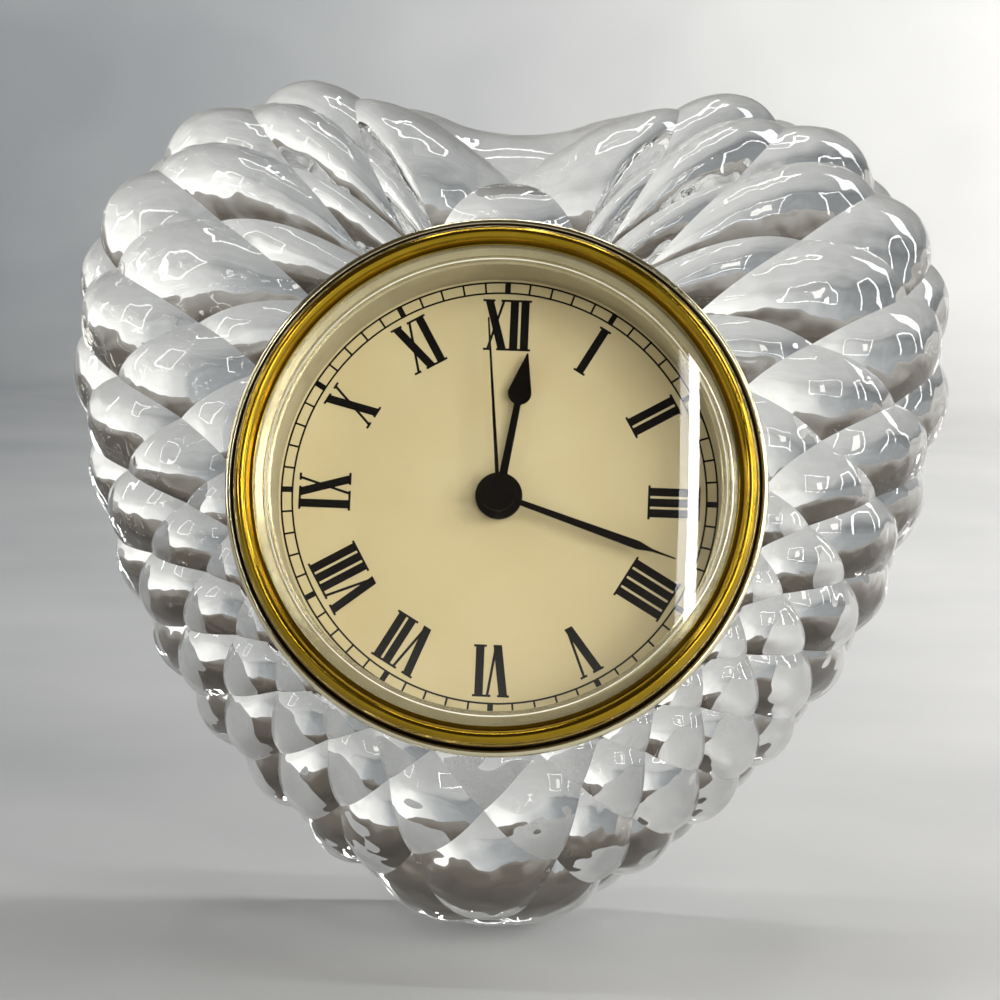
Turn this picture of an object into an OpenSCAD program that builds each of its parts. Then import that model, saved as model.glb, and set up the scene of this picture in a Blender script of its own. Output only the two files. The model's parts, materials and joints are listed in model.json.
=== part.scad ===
// Heart-shaped crystal desk clock with a push-in quartz insert.
// The clock is drawn lying face up: x across the dial, y up the dial, z out of the dial,
// with the front of the crystal at z = 0 and the bore on the z axis.
// stand() then tips it back onto its ground foot, whose middle is the origin.

/* [Crystal heart] */
// Radius of each of the two upper lobes
lobe_r = 29.5; // [28:0.5:31]
// Sideways distance of a lobe's centre from the middle
lobe_x = 23; // [21:0.5:24]
// Height of a lobe's centre above the bore's axis
lobe_y = 22; // [20:0.5:24]
// Radius of the long curve down each cheek
cheek_r = 82; // [75:1:95]
// Distance from the bore's axis down to the bottom tip
tip_drop = 49.4; // [48:0.2:51]
// Radius that rounds the bottom tip
tip_r = 16; // [12:1:18]
// Radius that rounds the notch between the lobes
notch_r = 16; // [12:1:20]
// Thickness of the crystal from front to back
heart_t = 40; // [38:1:46]
// Depth behind the front face at which the heart is widest
crown_d = 23; // [20:1:26]
// Angle that the dial leans back from upright
lean = 15; // [12:0.5:16]
// Distance from the bore's axis to the ground foot, square to the floor
foot_drop = 53.8; // [53:0.2:55]

/* [Diamond cutting] */
// Number of diamonds in a ring round the heart
diamonds = 24; // [18:2:28]
// Angle across the wide diamond at the bottom tip
tip_wide = 22.7; // [15:0.1:26]
// Angle across the wide diamond in the notch
notch_wide = 40; // [15:0.5:44]
// Angle by which the grooves bend up towards the notch where they reach the bezel
lobe_bend = 16; // [0:0.5:18]
// Share of a row by which the crossings move outwards in the lobes
lobe_lift = 0.7; // [0:0.05:0.8]
// Depth of the cut where two grooves cross
groove_d = 2.2; // [1:0.1:2.6]
// Facets along half the width of a diamond
cut_steps = 4; // [2:1:5]
// How far the side wall draws in towards the back
side_taper = 1.8; // [0.5:0.1:3]
// Size of the polished edge round the back
back_edge = 1.2; // [0.6:0.1:2]

/* [Clock insert] */
// Outer radius of the polished bezel
bezel_r = 30.5; // [30.3:0.1:31.5]
// Width by which the bezel covers the crystal round its bore
bezel_over = 3.5; // [3.3:0.1:4]
// Width of the bezel seen from the front
bezel_w = 3.3; // [3.1:0.1:3.6]
// Height of the bezel above the crystal
bezel_h = 3.7; // [3.2:0.1:4.5]
// Thickness of the case's flange under the bezel
flange_t = 0.9; // [0.7:0.1:1.4]
// Wall of the case behind the flange
case_wall = 0.65; // [0.5:0.05:0.8]
// Thickness of the ribbed gasket round the case
gasket_t = 0.5; // [0.4:0.05:0.7]
// Number of ribs on the gasket
gasket_ribs = 6; // [3:1:9]
// Thickness of the domed lens
lens_t = 1.2; // [0.9:0.1:1.6]
// Rise of the lens from its edge to its middle
lens_rise = 2; // [1:0.1:3]
// Depth of the dial's face behind the front of the crystal
dial_deep = 8.5; // [6:0.1:11]
// Thickness of the dial
dial_t = 0.5; // [0.3:0.1:0.8]
// Thickness of the pale ring that stands on the dial
ring_wall = 0.45; // [0.35:0.05:0.5]

/* [Hands] */
// Length of the hour hand from the middle
hour_len = 16.8; // [14:0.1:19]
// Length of the minute hand from the middle
minute_len = 21.4; // [19:0.1:24]
// Length of the second hand from the middle
second_len = 20.4; // [18:0.1:24]
// Thickness of each hand
hand_t = 0.3; // [0.2:0.05:0.5]
// Clear height between one hand and the next
hand_gap = 0.65; // [0.5:0.05:0.8]
// Turn of the hour hand at rest, clockwise from twelve
hour_turn = 9; // [0:1:359]
// Turn of the minute hand at rest, clockwise from twelve
minute_turn = 108; // [0:1:359]
// Turn of the second hand at rest, clockwise from twelve
second_turn = 354.5; // [0:0.5:359.5]

/* [Movement] */
// Thickness of the movement's plates and of the back cover
plate_t = 1; // [0.8:0.1:1.3]
// Thickness of the train bridge
bridge_t = 0.6; // [0.5:0.05:0.9]
// Thickness of a wheel
wheel_t = 0.4; // [0.3:0.05:0.5]
// Clear height between one wheel and the next
level_gap = 0.42; // [0.36:0.02:0.5]
// Room for the wheels in front of the middle plate
works_h = 1.9; // [1.8:0.05:2.2]
// Radius of the plate on which the places and distances below are laid out
works_r = 24.425; // [24.4:0.025:24.6]
// Distance from the middle to the third wheel's axis
third_d = 7.2; // [7.1:0.02:7.3]
// Distance from the middle to the fifth wheel's axis
fifth_d = 7; // [6.9:0.02:7.1]
// Distance from the fifth wheel's axis to the rotor
rotor_d = 6.12; // [6:0.02:6.2]
// Distance from the middle to the minute wheel's axis
motion_d = 7; // [6.9:0.02:7.2]
// Radius of the button cell
cell_r = 5.8; // [5.4:0.1:5.9]
// Thickness of the button cell
cell_t = 5.4; // [5:0.1:5.6]
// Distance from the middle down to the cell
cell_drop = 15; // [14.8:0.1:15.2]
// Radius of the coil's winding
coil_r = 1.85; // [1.6:0.05:1.9]
// Length of the coil's winding
coil_len = 15.8; // [12:0.2:16]
// Thickness of the circuit board
board_t = 0.6; // [0.4:0.1:0.8]
// Radius of the setting knob
knob_r = 4; // [3:0.1:4.4]
// Height of the setting knob
knob_h = 2.4; // [1.6:0.1:3]

/* [Fits] */
// Clearance all round a shaft in its bearing
turn_gap = 0.05; // [0.03:0.01:0.08]
// Clearance between pieces that are assembled together
seat_gap = 0.05; // [0.02:0.01:0.1]

/* [Hidden] */

// Smoothness of round pieces
round_fn = 96;
small_fn = 32;
// Amount by which a cut runs past the face that it opens
past = 0.5;

// Radii across the insert
bore_r = bezel_r - bezel_over;
bezel_in = bezel_r - bezel_w;
lens_r = bezel_in + 0.5;
flange_r = bezel_r - 0.9;
gasket_in = bore_r - turn_gap - gasket_t;
case_r = gasket_in - seat_gap / 2;
case_in = case_r - case_wall;
dial_r = case_in - seat_gap;
ring_r = case_in - seat_gap;
ring_in = ring_r - ring_wall;
ledge_r = case_in - 3.8;
hollow_r = case_in - 1.3;
plate_r = hollow_r - seat_gap;
// Places and distances in the movement grow and shrink with its plates
plan = plate_r / works_r;
rim_t = 1;

// Heights of the insert, from the lens to the back, which is downwards here
ring_step = 0.5;
lens_seat = flange_t + seat_gap;
lens_top = lens_seat + lens_t;
lip_t = 0.35;
lip_at = lens_top + seat_gap;
dial_top = -dial_deep;
dial_back = dial_top - dial_t;
ledge_t = 1;
front_top = dial_back - ledge_t;
front_back = front_top - plate_t;
middle_top = front_back - works_h;
middle_back = middle_top - plate_t;
train_h = 4 * wheel_t + 5 * level_gap;
bridge_top = middle_back - train_h;
bridge_back = bridge_top - bridge_t;
head_t = 0.4;
cover_top = bridge_back - head_t - 0.1;
cover_back = cover_top - plate_t;

// Heights of the four levels of the train, counted from the middle plate
function level_top(k) = middle_back - level_gap * (k + 1) - wheel_t * k;
function level_back(k) = level_top(k) - wheel_t;

// Heights of the wheels in front of the middle plate
minute_wheel_back = middle_top + 0.2;
hour_wheel_back = minute_wheel_back + wheel_t + level_gap + 0.2;

// Heights of the hands
hour_top = dial_top + 0.8 + hand_t;
minute_top = hour_top + hand_gap + hand_t;
second_top = minute_top + hand_gap + hand_t;

// Radii of the nested tubes at the middle, from the inside out
arbor_r = 0.4;
centre_tube_in = arbor_r + turn_gap;
centre_tube_r = 0.85;
cannon_in = centre_tube_r + turn_gap;
cannon_r = 1.35;
hour_pipe_in = cannon_r + turn_gap;
hour_pipe_r = 1.85;
stem_r = 0.8;
pivot_r = 0.22;

// Teeth of each gear
rotor_teeth = 8;
fifth_teeth = 60;
fifth_leaves = 10;
seconds_teeth = 40;
seconds_leaves = 8;
third_teeth = 60;
third_leaves = 8;
centre_teeth = 64;
cannon_teeth = 14;
minute_teeth = 42;
minute_leaves = 10;
hour_teeth = 40;

// Tooth sizes, worked out so that each pair fills the distance between its axes
function pair_mod(distance, a, b) = 2 * distance * plan / (a + b);
rotor_mod = pair_mod(rotor_d, rotor_teeth, fifth_teeth);
fifth_mod = pair_mod(fifth_d, fifth_leaves, seconds_teeth);
third_mod = pair_mod(third_d, seconds_leaves, third_teeth);
centre_mod = pair_mod(third_d, third_leaves, centre_teeth);
cannon_mod = pair_mod(motion_d, cannon_teeth, minute_teeth);
hour_mod = pair_mod(motion_d, minute_leaves, hour_teeth);

// Directions from one axis to the next
third_dir = 150;
fifth_dir = 60;
rotor_dir = 40;
motion_dir = -20;

// Places of the axes
function polar(r, a) = [r * cos(a), r * sin(a)];
middle = [0, 0];
third_c = polar(third_d * plan, third_dir);
fifth_c = polar(fifth_d * plan, fifth_dir);
rotor_c = fifth_c + polar(rotor_d * plan, rotor_dir);
minute_c = polar(motion_d * plan, motion_dir);
knob_c = 2 * minute_c;
cell_c = [0, -cell_drop * plan];

// Turn of the second gear of a pair, so that its gap faces a tooth of the first
function mesh_turn(teeth, turn, other, dir) =
  dir + 180 - (0.5 - (dir - turn) * teeth / 360) * 360 / other;
minute_wheel_turn = mesh_turn(cannon_teeth, 0, minute_teeth, motion_dir);

// Places of posts and screws
bridge_posts = plan * [[-5.2, -6.6], [8.5, -1.3], [-1.8, 10.5]];
board_posts = plan * [[-17, -6], [-9.6, -10.9]];
chip_c = plan * [-14.6, -9.8];
can_c = plan * [-15.4, -5];
core_ends = plan * [[-7.2, 16.5], [13.2, 16.5]];
coil_mid = (core_ends[0] + core_ends[1]) / 2;
post_r = 0.9;
screw_r = 0.45;
cover_screw_r = 0.7;
case_boss_r = 1.5;
boss_ring_r = hollow_r - case_boss_r + 0.15;
boss_turns = [10, 130, 235];

// Heights of the parts of the motor and of the electrics
stator_t = 0.7;
stator_top = middle_back - 1.2;
stator_back = stator_top - stator_t;
core_t = 0.5;
core_w = 1.6;
core_back = stator_back - core_t;
coil_z = stator_back - core_t / 2;
magnet_r = 2.5 * plan;
magnet_t = 1.3;
magnet_top = stator_top + (magnet_t - stator_t) / 2;
stator_gap = 0.4;
board_top = middle_back - 3.3;
board_back = board_top - board_t;
leaf_t = 0.15;
leaf_w = 0.9;
blade_w = 2.6;
foot_len = 3.2;

// Heights of the cell and of its cover
cell_top = middle_back - 0.5;
cell_back = cell_top - cell_t;
well_r = cell_r + 0.35;
well_wall = 0.6;
cap_r = cell_r + 1.2;
cap_t = 1.1;
cap_top = min(cell_back, cover_back) - 0.05;
cap_back = cap_top - cap_t;
lug_t = 0.4;
lug_top = cap_top - 0.35;
lug_w = 2.4;
lug_r = cap_r + 0.6;
groove_r = lug_r + 0.15;
collar_r = groove_r + 0.5;
collar_back = cap_back - 0.1;

// Heights of the setting knob
knob_boss_h = 0.6;
knob_top = cover_back - knob_boss_h - 0.2;
knob_back = knob_top - knob_h;

// Outline of the heart: the far root (1) or near root (-1) of a ray on a circle
function ray_hit(a, c, r, root) =
  let (along = c.x * cos(a) + c.y * sin(a))
  along + root * sqrt(along * along - c * c + r * r);
function heading(p) = atan2(p.y, p.x);
lobe_c = [lobe_x, lobe_y];
tip_c = [0, tip_r - tip_drop];
notch_c = [0, lobe_y + sqrt((lobe_r + notch_r) ^ 2 - lobe_x ^ 2)];
// The cheek's arc touches the lobe and the tip from outside
lobe_reach = cheek_r - lobe_r;
tip_reach = cheek_r - tip_r;
tip_span = norm(tip_c - lobe_c);
span_u = (tip_c - lobe_c) / tip_span;
along_span = (lobe_reach ^ 2 - tip_reach ^ 2 + tip_span ^ 2) / (2 * tip_span);
off_span = sqrt(lobe_reach ^ 2 - along_span ^ 2);
cheek_c = lobe_c + span_u * along_span + [span_u.y, -span_u.x] * off_span;
// Directions in which one arc gives way to the next
tip_end = heading(tip_c + (tip_c - cheek_c) / tip_reach * tip_r);
lobe_start = heading(lobe_c + (lobe_c - cheek_c) / lobe_reach * lobe_r);
lobe_end = heading(lobe_c + (notch_c - lobe_c) / (lobe_r + notch_r) * lobe_r);
// Radius of the heart in a direction, mirrored from the right half to the left
function heart_r(a) =
  let (b = a > 90 ? 180 - a : a)
  b < tip_end ? ray_hit(b, tip_c, tip_r, 1)
  : b < lobe_start ? ray_hit(b, cheek_c, cheek_r, 1)
  : b < lobe_end ? ray_hit(b, lobe_c, lobe_r, 1)
  : ray_hit(b, notch_c, notch_r, -1);

// The cut surface: columns run round the heart, rows from the bezel to the back
columns = 2 * diamonds * cut_steps;
rows = 4 * cut_steps;
seat_r = bezel_r - 0.9;
cut_r = bezel_r - 0.3;
// Angle across each of the other diamonds
side_wide = (360 - tip_wide - notch_wide) / (diamonds - 2);
function column_dir(i) =
  let (k = i / (2 * cut_steps), top = diamonds / 2)
  k > top ? 180 - column_dir(columns - i)
  : k < 0.5 ? k * tip_wide - 90
  : k < top - 0.5 ? (k - 0.5) * side_wide + tip_wide / 2 - 90
  : 90 - (top - k) * notch_wide;
// Share of the way through the lobe, from 0 to 1, counted in diamonds from the tip
function lobe_share(k, from, to) = max(0, min(1, (k / (diamonds / 2) - from) / (to - from)));
// In the lobes the columns bend towards the notch and the rows move out, as the heart widens
function cut_dir(i, v) =
  let (k = i / (2 * cut_steps))
  k > diamonds / 2 ? 180 - cut_dir(columns - i, v)
  : column_dir(i) + lobe_bend * sin(180 * lobe_share(k, 0.54, 1)) * max(0, 1 - v / 2) ^ 1.3;
function cut_row(i, v) =
  let (k = i / (2 * cut_steps), t = lobe_share(min(k, diamonds - k), 0.66, 0.78))
  v + lobe_lift * t * t * (3 - 2 * t) * sin(45 * v);
// Place across a groove's spacing, from -1 to 1, with the groove at both ends
function across(x) = 2 * (x - floor(x)) - 1;
function cut_depth(i, v) =
  let (turn = i / (2 * cut_steps))
  let (a = across(v / 2 + turn - 0.5), b = across(v / 2 - turn - 0.5))
  groove_d / 2 * (a * a + b * b);
// Slope of the front curve: rows 0 and 3 lie at the bezel and at the widest place
function front_angle(v) = min(90, 16.5 * v + 4.5 * v * v);
function section(v, r) =
  v <= 3
  ? [cut_r + (r - cut_r) * sin(front_angle(v)), -crown_d * (1 - cos(front_angle(v)))]
  : [r - side_taper * (v - 3) ^ 2, -crown_d - (v - 3) * (heart_t - crown_d - back_edge)];
function section_out(v, r) =
  let (n = [crown_d * sin(front_angle(v)), (r - cut_r) * cos(front_angle(v))])
  n / norm(n);
function cut_point(i, v) =
  let (a = cut_dir(i, v), r = heart_r(a), w = cut_row(i, v))
  let (p = section(w, r) - cut_depth(i, v) * section_out(w, r))
  let (xy = polar(p.x, a))
  [xy.x, xy.y, p.y];

// Where the foot is ground, along the floor: the origin is half way between the two
foot_front_z = (tip_drop * cos(lean) - foot_drop) / sin(lean);
foot_front = -tip_drop * sin(lean) - foot_front_z * cos(lean);
foot_back_y = (heart_t * sin(lean) - foot_drop) / cos(lean);
foot_back = foot_back_y * sin(lean) + heart_t * cos(lean);
foot_y = (foot_front + foot_back) / 2;

module stand() {
  translate([0, -foot_y, foot_drop]) rotate([90 - lean, 0, 0]) children();
}

module rod(r, low, high, fn = small_fn) {
  translate([0, 0, low]) cylinder(r = r, h = high - low, $fn = fn);
}

module tube(r, inner, low, high, fn = small_fn) {
  difference() {
    rod(r, low, high, fn);
    rod(inner, low - past, high + past, fn);
  }
}

module at(p) {
  translate([p.x, p.y, 0]) children();
}

module each_at(places) {
  for (p = places) at(p) children();
}

// Straight strip with round ends from a to b
module strip(a, b, w, low, high) {
  at(a) rod(w / 2, low, high);
  at(b) rod(w / 2, low, high);
  translate([a.x, a.y, low])
    rotate([0, 0, heading(b - a)])
    translate([0, -w / 2, 0])
    cube([norm(b - a), w, high - low]);
}

// Slotted screw driven in from the back: its head's seat is at head_at
module screw(head_r, shank_r, head_at, tip) {
  difference() {
    union() {
      rod(head_r, head_at - head_t, head_at);
      rod(shank_r, head_at - head_t / 2, tip);
    }
    translate([-head_r - past, -0.12, head_at - head_t - past])
      cube([2 * (head_r + past), 0.24, past + head_t / 2 - 0.05]);
  }
}

// Gear blank with straight-flanked teeth, thin enough to run with play
tooth_play = 0.25;
tooth_rise = 0.7;
tooth_sink = 0.95;
tip_share = 0.45;
root_share = 1.2;
function tooth_half(teeth) = 90 * (1 - tooth_play) / teeth;
function tooth_points(teeth, mod, k) =
  let (r = teeth * mod / 2, a = k * 360 / teeth, h = tooth_half(teeth))
  [
    polar(r - tooth_sink * mod, a - h * root_share),
    polar(r, a - h),
    polar(r + tooth_rise * mod, a - h * tip_share),
    polar(r + tooth_rise * mod, a + h * tip_share),
    polar(r, a + h),
    polar(r - tooth_sink * mod, a + h * root_share)
  ];
module gear(teeth, mod, turn, low, high) {
  outline = [for (k = [0:teeth - 1]) for (p = tooth_points(teeth, mod, k)) p];
  rotate([0, 0, turn]) translate([0, 0, low]) linear_extrude(high - low) polygon(outline);
}

// Wheel with round windows between its spokes
module wheel(teeth, mod, turn, low, high, windows) {
  r = teeth * mod / 2;
  difference() {
    gear(teeth, mod, turn, low, high);
    for (k = [0:windows - 1])
      rotate([0, 0, k * 360 / windows])
        translate([r * 0.55, 0, 0])
        rod(r * 0.22, low - past, high + past);
  }
}

module heart_blank() {
  front = [for (i = [0:columns - 1]) let (xy = polar(seat_r, cut_dir(i, 0))) [xy.x, xy.y, 0]];
  cut = [for (j = [0:rows]) for (i = [0:columns - 1]) cut_point(i, j / cut_steps)];
  back_in = side_taper + back_edge;
  back = [
    for (i = [0:columns - 1])
      let (a = column_dir(i), xy = polar(heart_r(a) - back_in, a))
      [xy.x, xy.y, -heart_t]
  ];
  bands = rows + 2;
  // Each band's quads are split along the groove that crosses them
  sides = [
    for (j = [0:bands - 1]) for (i = [0:columns - 1])
      let (next = (i + 1) % columns, p = j * columns, q = p + columns)
      let (leans_left = (i + j - cut_steps) % (2 * cut_steps) == 0)
      each leans_left
        ? [[p + i, p + next, q + i], [p + next, q + next, q + i]]
        : [[p + i, p + next, q + next], [p + i, q + next, q + i]]
  ];
  front_cap = [for (i = [0:columns - 1]) columns - 1 - i];
  back_cap = [for (i = [0:columns - 1]) bands * columns + i];
  polyhedron(concat(front, cut, back), concat([front_cap], sides, [back_cap]), convexity = 6);
}

module crystal_heart() {
  far = 2 * tip_drop;
  color("whitesmoke") difference() {
    heart_blank();
    rod(bore_r, -heart_t - past, past, round_fn);
    rotate([lean - 90, 0, 0]) translate([-far, -far, -foot_drop - far]) cube([2 * far, 2 * far, far]);
  }
}

// Section of the bezel: a bead at the rim, a crease, a broad rounded band and a lip on the lens
bead_r = 0.45;
bead_c = [bezel_r - bead_r, flange_t + 0.1];
rim_cut = 0.15;
band_out = bezel_r - 2 * bead_r - 0.05;
band_in = bezel_in + 0.25;
band_c = [(band_out + band_in) / 2, flange_t + 0.3];
function arc(c, rx, ry, from, to, steps) =
  [for (k = [0:steps]) let (a = from + (to - from) * k / steps) [c.x + rx * cos(a), c.y + ry * sin(a)]];
module bezel_ring() {
  color("gold") rotate_extrude($fn = round_fn) polygon(concat(
    [[flange_r + seat_gap, 0], [bezel_r - rim_cut, 0], [bezel_r, rim_cut]],
    arc(bead_c, bead_r, bead_r, 0, 150, 10),
    arc(band_c, (band_out - band_in) / 2, bezel_h - band_c.y, 0, 150, 16),
    [[band_in, lip_at + lip_t], [bezel_in, lip_at + lip_t], [bezel_in, lip_at]],
    [[lens_r + seat_gap, lip_at], [lens_r + seat_gap, flange_t + seat_gap]],
    [[flange_r + seat_gap, flange_t + seat_gap]]
  ));
}

// Ball of glass whose cap rises by lens_rise over the given radius, resting at a height
module dome(r, base) {
  ball_r = (r * r + lens_rise * lens_rise) / (2 * lens_rise);
  intersection() {
    translate([0, 0, base + lens_rise - ball_r]) sphere(r = ball_r, $fn = round_fn);
    rod(r, base - past, base + lens_rise + past, round_fn);
  }
}
module lens() {
  color("aliceblue") difference() {
    union() {
      rod(lens_r, lens_seat, lens_top, round_fn);
      dome(bezel_in - 0.1, lens_top);
    }
    dome(bezel_in - 0.7, lens_seat);
  }
}

module reflector_ring() {
  color("beige") {
    tube(ring_r, ring_in, dial_top, flange_t - ring_step + past / 2, round_fn);
    tube(lens_r, ring_in, flange_t - ring_step, flange_t, round_fn);
  }
}

module dial_plate() {
  color("wheat") tube(dial_r, hour_pipe_r + 0.4, dial_back, dial_top, round_fn);
}

module insert_case() {
  color("whitesmoke") difference() {
    union() {
      rod(flange_r, 0, flange_t, round_fn);
      difference() {
        rod(case_r, cover_back, past, round_fn);
        rod(hollow_r, cover_back - past, front_top, round_fn);
      }
      for (a = boss_turns) at(polar(boss_ring_r, a)) rod(case_boss_r, cover_top, front_top + past);
    }
    rod(lens_r + seat_gap, flange_t - ring_step, flange_t + past, round_fn);
    rod(case_in, dial_back, flange_t, round_fn);
    rod(ledge_r, front_top - past, dial_back + past, round_fn);
    for (a = boss_turns) at(polar(boss_ring_r, a)) rod(cover_screw_r, cover_top - past, cover_top + 4);
  }
}

// The gasket's ribs bear on the bore
module ribbed_gasket() {
  top = -1.5;
  low = cover_back + 2;
  pitch = (top - low) / gasket_ribs;
  skin = gasket_in + gasket_t * 0.5;
  crest = gasket_in + gasket_t;
  ribs = [
    for (k = [0:gasket_ribs - 1])
      let (z = low + k * pitch)
      each [[skin, z], [skin, z + pitch * 0.35], [crest, z + pitch * 0.55], [crest, z + pitch * 0.8]]
  ];
  color("black") rotate_extrude($fn = round_fn)
    polygon(concat([[gasket_in, low]], ribs, [[skin, top], [gasket_in, top]]));
}

module boss_notches(low, high) {
  for (a = boss_turns) at(polar(boss_ring_r, a)) rod(case_boss_r + 0.15, low - past, high + past);
}

module front_plate() {
  color("white") difference() {
    rod(plate_r, front_back, front_top, round_fn);
    rod(hour_pipe_r + turn_gap, front_back - past, front_top + past);
    boss_notches(front_back, front_top);
  }
}

module posts(places, r, low) {
  each_at(places) difference() {
    rod(r, low, middle_back + past / 2);
    rod(screw_r, low - past, low + 1.8);
  }
}

module middle_plate() {
  color("ivory") {
    difference() {
      union() {
        rod(plate_r, middle_back, middle_top, round_fn);
        tube(plate_r, plate_r - rim_t, cover_top, front_back, round_fn);
      }
      boss_notches(cover_top, front_back);
      rod(centre_tube_r + turn_gap, middle_back - past, middle_top + past);
      at(knob_c) rod(stem_r + turn_gap, middle_back - past, middle_top + past);
      each_at([third_c, fifth_c, rotor_c]) rod(pivot_r + turn_gap, middle_back - past, middle_back + 0.6);
    }
    at(minute_c) rod(0.5, middle_top - past / 2, front_back - 0.1);
    posts(bridge_posts, post_r, bridge_top);
    posts(board_posts, post_r, board_top);
    posts(core_ends, post_r, stator_top);
  }
}

module train_bridge() {
  arms = concat(
    [for (p = [bridge_posts[0], bridge_posts[1], third_c, fifth_c]) [middle, p]],
    [[fifth_c, bridge_posts[2]], [fifth_c, rotor_c]]
  );
  color("ivory") difference() {
    for (arm = arms) strip(arm[0], arm[1], 2.2, bridge_back, bridge_top);
    each_at([middle, third_c, fifth_c, rotor_c])
      rod(pivot_r + turn_gap, bridge_back - past, bridge_top + past);
    each_at(bridge_posts) rod(screw_r + 0.05, bridge_back - past, bridge_top + past);
  }
}

module bridge_screws() {
  color("silver") each_at(bridge_posts) screw(0.85, screw_r - 0.02, bridge_back, bridge_top + 1.5);
}

module back_cover() {
  color("white") difference() {
    union() {
      rod(plate_r, cover_back, cover_top, round_fn);
      at(cell_c) tube(well_r + well_wall, well_r, cover_top - past / 2, cell_top - 0.4, 64);
      at(cell_c) rod(collar_r, collar_back, cover_back + past / 2, 64);
      at(knob_c) rod(stem_r + 1.4, cover_back - knob_boss_h, cover_back + past / 2);
    }
    at(cell_c) rod(well_r, cover_back - past, cell_top, 64);
    at(cell_c) rod(cap_r + 0.1, collar_back - past, cover_back, 64);
    // Round groove in which the cap's lugs turn, and the two slots that let them in
    at(cell_c) rod(groove_r, lug_top - lug_t - 0.1, lug_top + 0.1, 64);
    at(cell_c) for (a = [60, 240]) rotate([0, 0, a])
      translate([0, -lug_w / 2 - 0.3, collar_back - past])
      cube([groove_r, lug_w + 0.6, lug_top + 0.1 - collar_back + past]);
    at(knob_c) rod(stem_r + turn_gap, cover_back - knob_boss_h - past, cover_top + past);
    for (a = boss_turns) at(polar(boss_ring_r, a))
      rod(cover_screw_r + 0.1, cover_back - past, cover_top + past);
    // Gap in the wall of the cell's well for the positive contact
    translate([-well_r - well_wall - past, cell_c.y - 0.9, cover_top])
      cube([2 * well_wall + past + 0.4, 3.4, cell_top - cover_top]);
  }
}

module cover_screws() {
  color("silver") for (a = boss_turns) at(polar(boss_ring_r, a))
    screw(1.2, cover_screw_r - 0.02, cover_back, cover_top + 3.5);
}

module battery_cover() {
  color("white") at(cell_c) difference() {
    union() {
      rod(cap_r, cap_back, cap_top, 64);
      intersection() {
        translate([-lug_r - past, -lug_w / 2, lug_top - lug_t]) cube([2 * (lug_r + past), lug_w, lug_t]);
        rod(lug_r, cap_back, cap_top, 64);
      }
    }
    translate([-5, -0.6, cap_back - past]) cube([10, 1.2, past + 0.5]);
  }
}

module button_cell() {
  bead = 0.5;
  color("silver") at(cell_c) {
    rod(cell_r, cell_back, cell_top - bead, 64);
    rod(cell_r - 0.9, cell_top - bead - past, cell_top, 64);
  }
}

// Spring blade in the slot of the cell's well, with a foot on the circuit board
module contact_positive() {
  blade_x = -cell_r - 0.05 - leaf_t;
  foot_x = blade_x + leaf_t - foot_len;
  foot_side = cell_c.y + 1.2;
  color("goldenrod") {
    translate([blade_x, cell_c.y - 0.5, cover_top + 0.3])
      cube([leaf_t, blade_w, cell_top - cover_top - 1.2]);
    translate([foot_x, foot_side, board_top]) cube([foot_len, leaf_w, leaf_t]);
    translate([foot_x, foot_side, board_top]) cube([leaf_w, foot_len - 1.8, leaf_t]);
  }
}

// Spring leaf across the front of the cell, with a leg down to the circuit board
module contact_negative() {
  leg = board_posts[1] - [1.4, 1.5];
  leaf_top = middle_back - 0.05;
  color("goldenrod") {
    strip(cell_c, leg, leaf_w, leaf_top - leaf_t, leaf_top);
    at(cell_c) rod(leaf_w, cell_top, leaf_top);
    translate([leg.x - leaf_w / 3, leg.y - leaf_w / 2, board_top])
      cube([leaf_t, leaf_w, leaf_top - board_top]);
  }
}

board_outline = plan * [
  [-19, -13], [-7.8, -13], [-7.8, -3.8], [-15, -3.8], [-15, 6.5], [-9, 12.6],
  [-6.2, 14.4], [-6.2, 16.2], [-10.6, 16.2], [-19, 7.8]
];
module circuit_board() {
  color("darkgreen") difference() {
    translate([0, 0, board_back]) linear_extrude(board_t) polygon(board_outline);
    each_at(board_posts) rod(screw_r + 0.05, board_back - past, board_top + past);
  }
}

module board_screws() {
  color("silver") each_at(board_posts) screw(0.85, screw_r - 0.02, board_back, board_top + 1.5);
}

module driver_chip() {
  blob_r = 2.2;
  blob_h = 0.8;
  ball_r = (blob_r * blob_r + blob_h * blob_h) / (2 * blob_h);
  color("black") at(chip_c) intersection() {
    translate([0, 0, board_top + blob_h - ball_r]) sphere(r = ball_r, $fn = 64);
    rod(blob_r, board_top, board_top + blob_h);
  }
}

module crystal_can() {
  can_r = 1;
  can_len = 6;
  color("silver") translate([can_c.x, can_c.y, board_top + can_r]) rotate([0, 90, 0]) {
    rod(can_r, 0, can_len);
    for (y = [-0.4, 0.4]) translate([0, y, 0]) rod(0.12, -1, past / 2);
  }
}

module coil_core() {
  over = 1.2;
  color("silver") difference() {
    translate([core_ends[0].x - over, core_ends[0].y - core_w / 2, core_back])
      cube([core_ends[1].x - core_ends[0].x + 2 * over, core_w, core_t]);
    each_at(core_ends) rod(screw_r + 0.05, core_back - past, stator_back + past);
  }
}

flange_w = 0.5;
spool_r = 1.15;
coil_half = coil_len * plan / 2;
module along_coil() {
  translate([coil_mid.x, coil_mid.y, coil_z]) rotate([0, 90, 0]) children();
}

module coil_bobbin() {
  color("white") difference() {
    along_coil() {
      rod(spool_r, -coil_half - flange_w, coil_half + flange_w);
      for (z = [-coil_half - flange_w, coil_half]) rod(coil_r + 0.1, z, z + flange_w);
    }
    translate([coil_mid.x - coil_half - flange_w - past, coil_mid.y - core_w / 2 - 0.02, core_back - 0.02])
      cube([2 * (coil_half + flange_w + past), core_w + 0.04, core_t + 0.04]);
  }
}

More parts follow.
